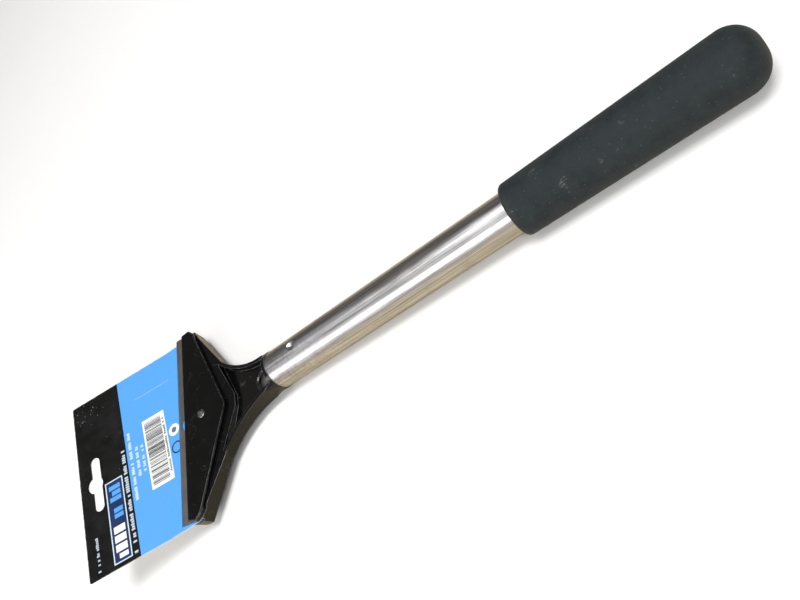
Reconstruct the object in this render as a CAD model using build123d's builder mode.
# Long-handled blade scraper: a steel tube with a rubber grip, a cast head with a clamp plate,
# a reversible 100 mm blade, and the printed hang card that is clamped under the blade.
#
# Part frame: the scraper lies on its back on the plane Z = 0. +X runs from the blade to the grip,
# +Y runs across the blade, +Z is up. The origin is on the floor, under the middle of the whole object.
# It rests on the collar behind the head and on the front edge of the grip, which is a little fatter.

from build123d import *
from math import cos, radians, sin
import os

# ---------------------------------------------------------------- driving dimensions (mm)

# pose on the floor
rest_pitch = 0.878           # rise of the tube towards the grip, degrees
tube_start_x = -49.894       # head end of the tube axis in the part frame
tube_start_y = 4.533         # the card reaches out further on one side of it
tube_start_z = 9.332         # its height above the floor

# handle
tube_radius = 9.0
tube_wall = 1.2
tube_length = 221.0
dimple_x = 17.0              # crimped dimples that lock the tube on the spigot
dimple_depth = 1.0
dimple_ball = 3.6
grip_start_x = 131.0
grip_end_x = 231.0
grip_front_radius = 11.35
grip_rear_radius = 12.3
grip_dome = 10.5
plug_length = 12.0

# head attitude, measured in the tool frame (X along the tube, Z up through the clamp plate)
head_tilt = 11.0             # the blade plane climbs this much towards its edge, degrees
blade_edge_x = -65.7
blade_edge_z = 5.6

# blade, reversible
blade_length = 100.0
blade_width = 12.0
blade_thickness = 0.8
blade_bevel = 1.5
blade_hole_radius = 3.9

# hang card
card_width = 98.4
card_thickness = 0.4
card_free_length = 60.3
card_yaw = 9.2               # the card was clamped a little askew
card_shift = -2.1
card_held = 11.0
card_flat_reach = 7.0        # it bends up here, ahead of the blade's edge
card_rise = 0.09             # slope beyond the bend
euro_slot_width = 29.6
euro_slot_height = 5.2
euro_bump_radius = 4.3
euro_bump_offset = -1.1
euro_slot_inset = 10.2
euro_slot_shift = -1.5

# clamp plate
plate_front = 5.5
plate_thickness = 2.2
plate_front_half = 49.8
plate_flare = (10.2, 50.9)
plate_heel = (13.0, 48.2)
plate_apex = 30.4

# clamp screw, M4, entered from the back
screw_x = 16.0
screw_radius = 2.0
screw_head_radius = 3.6
screw_head_height = 2.3
washer_radius = 4.4
flat_washer_thickness = 0.8
spring_washer_thickness = 1.0

# cast head
back_z = -4.2                # back of the casting, parallel to the tube
wing_front_x = -60.4         # outline of the wings at the back, in the tool frame
wing_tip = (-54.9, 50.1)
wing_kink = (-39.2, 25.8)
wing_draft = 8.0             # the wings widen towards the blade
neck_root = (-39.2, 26.2)
neck_half = 9.2
neck_top_at_root = 1.2
neck_top_at_collar = 5.0
seat_floor = 2.2             # metal under the screw's washers
rim_gap = 0.9
rim_height = 1.1
rim_width = 3.4
wall = 2.0
back_wall = 2.6
roof_thickness = 2.8
hollow_end_x = -36.0
boss_radius = 6.6
rib_y = 26.0
rib_thickness = 2.0
collar_width = 2.0
collar_radius = 9.3
spigot_length = 26.0
hang_hole_x = -10.0
hang_hole_radius = 4.6
web_top_at_collar = 1.6
web_slope = 7.5              # rise of the neck web towards the collar, degrees
web_thickness = 2.4

clearance = 0.05             # between flat faces that are clamped together
running = 0.05               # radial, round the screw

# ---------------------------------------------------------------- frames

pitch = radians(rest_pitch)
tool = Plane(
    origin=(tube_start_x, tube_start_y, tube_start_z),
    x_dir=(cos(pitch), 0, sin(pitch)),
    z_dir=(-sin(pitch), 0, cos(pitch)),
)
side = Plane(origin=tool.origin, x_dir=tool.x_dir, z_dir=-tool.y_dir)
tube_axis = Axis(tool.origin, tool.x_dir)

lean = radians(rest_pitch - head_tilt)
# origin on the blade's edge, X back along the blade plane, Z through the clamp plate
head = Plane(
    origin=tool.from_local_coords((blade_edge_x, 0, blade_edge_z)),
    x_dir=(cos(lean), 0, sin(lean)),
    z_dir=(-sin(lean), 0, cos(lean)),
)
head_side = Plane(origin=head.origin, x_dir=head.x_dir, z_dir=-head.y_dir)


def across_tube(x):
    """Plane across the tube axis, x from the tube's head end, looking towards the grip."""
    return Plane(origin=tool.from_local_coords((x, 0, 0)), x_dir=tool.y_dir, z_dir=tool.x_dir)


def save(part, name):
    part.label = name
    export_step(part, f"parts/{name}.step")


os.makedirs("parts", exist_ok=True)

# heights in the head frame: the blade's upper face is zero
card_top = -blade_thickness - clearance
pocket_floor = card_top - card_thickness - clearance
plate_bottom = clearance
plate_top = plate_bottom + plate_thickness
washer_face = -seat_floor
spring_face = washer_face - flat_washer_thickness
screw_face = spring_face - spring_washer_thickness
roof_height = pocket_floor - roof_thickness
screw_plane = Plane(origin=head.from_local_coords((screw_x, 0, 0)), x_dir=head.x_dir, z_dir=head.z_dir)
screw_tool_x = tool.to_local_coords(head.from_local_coords((screw_x, 0, washer_face))).X

# ---------------------------------------------------------------- handle

with BuildPart() as handle_tube:
    with BuildSketch(across_tube(0)):
        Circle(tube_radius)
        Circle(tube_radius - tube_wall, mode=Mode.SUBTRACT)
    extrude(amount=tube_length)
    ball_height = tube_radius - dimple_depth + dimple_ball
    dimple_places = [tool.from_local_coords((dimple_x, 0, s * ball_height)) for s in (1, -1)]
    with Locations(*dimple_places):
        Sphere(dimple_ball + tube_wall)
    with BuildSketch(across_tube(0)):
        Circle(2 * tube_radius)
        Circle(tube_radius, mode=Mode.SUBTRACT)
    extrude(amount=2 * dimple_x, mode=Mode.SUBTRACT)
    with Locations(*dimple_places):
        Sphere(dimple_ball, mode=Mode.SUBTRACT)

with BuildPart() as grip_sleeve:
    with BuildSketch(side):
        with BuildLine():
            dome_x = grip_end_x - grip_dome
            Polyline(
                (dome_x, grip_rear_radius),
                (grip_start_x, grip_front_radius),
                (grip_start_x, tube_radius),
                (tube_length + 2.0, tube_radius),
                (tube_length + 2.0, 0),
                (grip_end_x, 0),
                (grip_end_x, grip_rear_radius - grip_dome),
            )
            JernArc((dome_x, grip_rear_radius), (1, 0), grip_dome, -90)
        make_face()
    revolve(axis=tube_axis)
    front_edges = grip_sleeve.edges().filter_by(GeomType.CIRCLE).group_by(tube_axis)[0]
    fillet(front_edges.sort_by(SortBy.RADIUS)[-1], 2.0)

with BuildPart() as tube_plug:
    with BuildSketch(across_tube(tube_length)):
        Circle(tube_radius - 0.1)
    extrude(amount=1.8)
    with BuildSketch(across_tube(tube_length)):
        Circle(tube_radius - tube_wall)
        Circle(tube_radius - tube_wall - 1.5, mode=Mode.SUBTRACT)
    extrude(amount=-plug_length)

# ---------------------------------------------------------------- cast head


def wing_outline():
    """Outline of the wings at the back face, seen along the tool's Z: straight rear edges."""
    with BuildSketch() as outline:
        Polygon(
            (wing_front_x, 49.4), (wing_tip[0] - 2.4, wing_tip[1]), wing_tip, wing_kink, (-30.0, 11.0),
            (-30.0, -11.0), (wing_kink[0], -wing_kink[1]), (wing_tip[0], -wing_tip[1]),
            (wing_tip[0] - 2.4, -wing_tip[1]), (wing_front_x, -49.4), align=None,
        )
    return outline.sketch


def neck_outline(inset=0.0):
    """Outline of the neck, flared from the collar to the wings, seen along the tool's Z."""
    root = (neck_root[0] - 0.8 * inset, neck_root[1] - 0.6 * inset)
    half = neck_half - inset
    with BuildSketch() as outline:
        with BuildLine():
            waist = (-30.0 - 0.6 * inset, 16.0 - 0.8 * inset)
            Bezier(root, waist, (-17.0, half + 0.4), (-collar_width, half))
            Polyline((-collar_width, half), (-collar_width, 0), (-55.0, 0), (-55.0, root[1]), root)
        make_face()
        mirror(about=Plane.XZ)
    return outline.sketch


def seat_outline(extra):
    """Region in front of the rim, in the head frame: the plate's rear outline grown by extra."""
    flare_x = plate_flare[0] + 0.4
    flare_y = plate_flare[1] + 1.3
    heel_x = plate_heel[0] + rim_gap + 0.6 * (extra - rim_gap)
    with BuildSketch() as outline:
        Polygon(
            (-20, 70), (flare_x, 70), (flare_x, flare_y), (heel_x, plate_heel[1] + 0.5),
            (plate_apex + 1.2 * extra, 3.0), (plate_apex + 1.2 * extra, -3.0),
            (heel_x, -plate_heel[1] - 0.5), (flare_x, -flare_y), (flare_x, -70), (-20, -70), align=None,
        )
    return outline.sketch


def web_frame(drop):
    """Plane along the neck web, lowered by drop below the web's upper face."""
    slope = pitch + radians(web_slope)
    return Plane(
        origin=tool.from_local_coords((-collar_width, 0, web_top_at_collar)),
        x_dir=(cos(slope), 0, sin(slope)),
        z_dir=(-sin(slope), 0, cos(slope)),
    ).offset(-drop)


def neck_channel(floor, front, keep):
    """The space between the neck walls, behind a line parallel to the rim, on one side of a web face."""
    with BuildPart() as space:
        with BuildSketch(tool.offset(-20)):
            add(neck_outline(wall))
        extrude(amount=40)
        with BuildSketch(head.offset(-40)):
            add(seat_outline(front))
        extrude(amount=80, mode=Mode.SUBTRACT)
        split(bisect_by=floor, keep=keep)
    return space.part


def wing_hollow():
    """The space behind the wings, open at the back, round the screw boss and between the ribs."""
    with BuildPart() as space:
        with BuildSketch(tool.offset(back_z - 1)):
            add(wing_outline())
            offset(amount=-back_wall, kind=Kind.INTERSECTION)
            with Locations((hollow_end_x, 0)):
                Rectangle(100, 140, align=(Align.MIN, Align.CENTER), mode=Mode.SUBTRACT)
            with Locations((screw_tool_x, 0)):
                Circle(boss_radius, mode=Mode.SUBTRACT)
            with Locations((screw_tool_x, rib_y), (screw_tool_x, -rib_y)):
                Rectangle(60, rib_thickness, mode=Mode.SUBTRACT)
        extrude(amount=40)
        split(bisect_by=head.offset(roof_height), keep=Keep.BOTTOM)
    return space.part


def wing_block():
    """Wings with drafted sides, cut off at the top of the rim."""
    with BuildPart() as block:
        with BuildSketch(tool.offset(back_z)):
            add(wing_outline())
        extrude(amount=14, taper=-wing_draft)
        split(bisect_by=head.offset(rim_height), keep=Keep.BOTTOM)
        add(neck_channel(web_frame(0), rim_gap + rim_width, Keep.TOP), mode=Mode.SUBTRACT)
    return block.part


def on_rim(edge):
    """True for the straight edges along the front of the rim's top face."""
    ends = [head.to_local_coords(edge @ t) for t in (0, 1)]
    in_front = all(end.X < plate_apex + 1.3 * rim_gap for end in ends)
    return in_front and edge.length > 5.9 and all(abs(end.Z - rim_height) < 0.01 for end in ends)


def on_neck(edge):
    """True for the curved top edges on the outside of the neck."""
    middle = tool.to_local_coords(edge @ 0.5)
    return 13.5 < abs(middle.Y) < 16.0 and 1.5 < middle.Z < 3.0 and edge.length > 30


with BuildPart() as head_casting:
    # neck between the back and its top profile, turned down to the collar's diameter at its end
    with BuildSketch(tool.offset(back_z)):
        add(neck_outline())
        with Locations((neck_root[0] - 2.0, 0)):
            Rectangle(60, 90, align=(Align.MAX, Align.CENTER), mode=Mode.SUBTRACT)
    extrude(amount=16)
    with BuildSketch(side):
        with BuildLine():
            at_collar = (-collar_width, neck_top_at_collar)
            at_root = (-45, neck_top_at_root)
            Polyline(at_collar, (-collar_width, -20), (-45, -20), at_root)
            Bezier(at_root, (-30.0, 1.7), (-16.0, 2.4), at_collar)
        make_face()
    extrude(amount=70, both=True, mode=Mode.INTERSECT)
    with BuildSketch(side):
        with BuildLine():
            at_collar = (-collar_width, collar_radius)
            Bezier(at_collar, (-10.0, collar_radius + 0.7), (-20.0, 14.0), (-30.0, 60.0))
            Polyline((-30.0, 60.0), (-60.0, 60.0), (-60.0, 0), (-collar_width, 0), at_collar)
        make_face()
    revolve(axis=tube_axis, mode=Mode.INTERSECT)
    # web channel between the neck walls, open at the top, and the hollow under the web
    add(neck_channel(web_frame(0), -30, Keep.TOP), mode=Mode.SUBTRACT)
    add(neck_channel(web_frame(web_thickness), 8.0, Keep.BOTTOM), mode=Mode.SUBTRACT)
    add(wing_block())
    # blade pocket, and the land that carries the plate behind it
    with BuildSketch(head.offset(pocket_floor)):
        with Locations((blade_width + 0.3, 0)):
            Rectangle(40, 140, align=(Align.MAX, Align.CENTER))
    extrude(amount=20, mode=Mode.SUBTRACT)
    with BuildSketch(head):
        add(seat_outline(rim_gap))
    extrude(amount=20, mode=Mode.SUBTRACT)
    # hollow back of the wings, and the bores for the screw
    add(wing_hollow(), mode=Mode.SUBTRACT)
    with BuildSketch(screw_plane.offset(washer_face)):
        Circle(washer_radius + 0.4)
    extrude(amount=-20, mode=Mode.SUBTRACT)
    with BuildSketch(screw_plane.offset(washer_face)):
        Circle(screw_radius + 0.25)
    extrude(amount=20, mode=Mode.SUBTRACT)
    # collar and spigot
    with BuildSketch(across_tube(-collar_width)):
        Circle(collar_radius)
    extrude(amount=collar_width)
    with BuildSketch(across_tube(0)):
        Circle(tube_radius - tube_wall - running)
    extrude(amount=spigot_length)
    with Locations(*dimple_places):
        Sphere(dimple_ball + tube_wall + clearance, mode=Mode.SUBTRACT)
    # hang hole through the web
    with BuildSketch(web_frame(-10)):
        with Locations((hang_hole_x + collar_width, 0)):
            Circle(hang_hole_radius)
    extrude(amount=-30, mode=Mode.SUBTRACT)
    # eased edges
    round_edges = edges().filter_by(GeomType.CIRCLE)
    chamfer(round_edges.filter_by(lambda e: abs(e.radius - hang_hole_radius) < 0.01), 0.5)
    fillet(edges().filter_by(GeomType.LINE).filter_by(on_rim), 0.4)
    fillet(edges().filter_by(on_neck), 0.4)

# ---------------------------------------------------------------- clamp plate, blade and screw

with BuildPart() as clamp_plate:
    with BuildSketch(head.offset(plate_bottom)):
        Polygon(
            (plate_front, plate_front_half), plate_flare, plate_heel, (plate_apex, 0),
            (plate_heel[0], -plate_heel[1]), (plate_flare[0], -plate_flare[1]),
            (plate_front, -plate_front_half), align=None,
        )
        fillet(vertices().sort_by(Axis.X)[-1], 6.0)
        fillet(vertices().filter_by(lambda v: abs(v.Y) > 45), 0.6)
    extrude(amount=plate_thickness)
    chamfer(faces().sort_by(Axis(head.origin, head.z_dir))[-1].edges(), 0.45)
    with BuildSketch(screw_plane):
        Circle(screw_radius + running)
    extrude(amount=20, mode=Mode.SUBTRACT)

with BuildPart() as blade:
    with BuildSketch(head_side):
        Polygon(
            (0, -blade_thickness), (blade_width, -blade_thickness), (blade_width, -blade_thickness + 0.15),
            (blade_width - blade_bevel, 0), (blade_bevel, 0), (0, -blade_thickness + 0.15), align=None,
        )
    extrude(amount=blade_length / 2, both=True)
    with BuildSketch(head.offset(-2)):
        with Locations((blade_width / 2, 0)):
            Circle(blade_hole_radius)
    extrude(amount=4, mode=Mode.SUBTRACT)

with BuildPart() as clamp_screw:
    with BuildSketch(screw_plane.offset(screw_face)):
        Circle(screw_radius)
    extrude(amount=plate_top - screw_face)
    chamfer(edges().group_by(Axis(screw_plane.origin, screw_plane.z_dir))[-1], 0.4)
    with BuildSketch(screw_plane.offset(screw_face)):
        Circle(screw_head_radius)
    extrude(amount=-screw_head_height)
    fillet(edges().group_by(Axis(screw_plane.origin, screw_plane.z_dir))[0], 0.6)
    with BuildSketch(screw_plane.offset(screw_face - screw_head_height)):
        Rectangle(4.2, 0.9)
        Rectangle(0.9, 4.2)
    extrude(amount=1.3, mode=Mode.SUBTRACT)

with BuildPart() as flat_washer:
    with BuildSketch(screw_plane.offset(washer_face - flat_washer_thickness)):
        Circle(washer_radius)
        Circle(screw_radius + 0.15, mode=Mode.SUBTRACT)
    extrude(amount=flat_washer_thickness)

with BuildPart() as spring_washer:
    with BuildSketch(screw_plane.offset(spring_face - spring_washer_thickness)):
        Circle(washer_radius - 0.8)
        Circle(screw_radius + 0.15, mode=Mode.SUBTRACT)
        with Locations(Location((washer_radius - 1.4, 0), 30)):
            Rectangle(4, 0.5, mode=Mode.SUBTRACT)
    extrude(amount=spring_washer_thickness)

# ---------------------------------------------------------------- hang card

with BuildPart() as hang_card:
    # side profile: flat where it is held, then rising to its free end
    with BuildSketch(head_side):
        reach = 70.0
        bottom = card_top - card_thickness
        Polygon(
            (card_held, bottom), (card_held, card_top), (-card_flat_reach, card_top),
            (-card_flat_reach - reach, card_top + card_rise * reach),
            (-card_flat_reach - reach, bottom + card_rise * reach), (-card_flat_reach, bottom),
            align=None,
        )
    extrude(amount=80, both=True)
    # outline, yawed in the plane of the blade, with a euro hang slot
    with BuildSketch(head.offset(-40)):
        with Locations(Location((0, card_shift), card_yaw)):
            with Locations((-card_free_length, 0)):
                Rectangle(120, card_width, align=(Align.MIN, Align.CENTER))
        fillet(vertices().sort_by(Axis.X)[:2], 1.2)
        with Locations(Location((0, card_shift), card_yaw)):
            with Locations((euro_slot_inset - card_free_length, euro_slot_shift)):
                SlotOverall(euro_slot_width, euro_slot_height, rotation=90, mode=Mode.SUBTRACT)
                with Locations((euro_bump_offset, 0)):
                    Circle(euro_bump_radius, mode=Mode.SUBTRACT)
    extrude(amount=80, mode=Mode.INTERSECT)


for name, piece in (
    ("handle_tube", handle_tube), ("grip_sleeve", grip_sleeve), ("tube_plug", tube_plug),
    ("head_casting", head_casting), ("clamp_plate", clamp_plate), ("blade", blade),
    ("clamp_screw", clamp_screw), ("flat_washer", flat_washer), ("spring_washer", spring_washer),
    ("hang_card", hang_card),
):
    save(piece.part, name)
    print(name, len(piece.part.solids()), round(piece.part.volume), piece.part.is_valid)
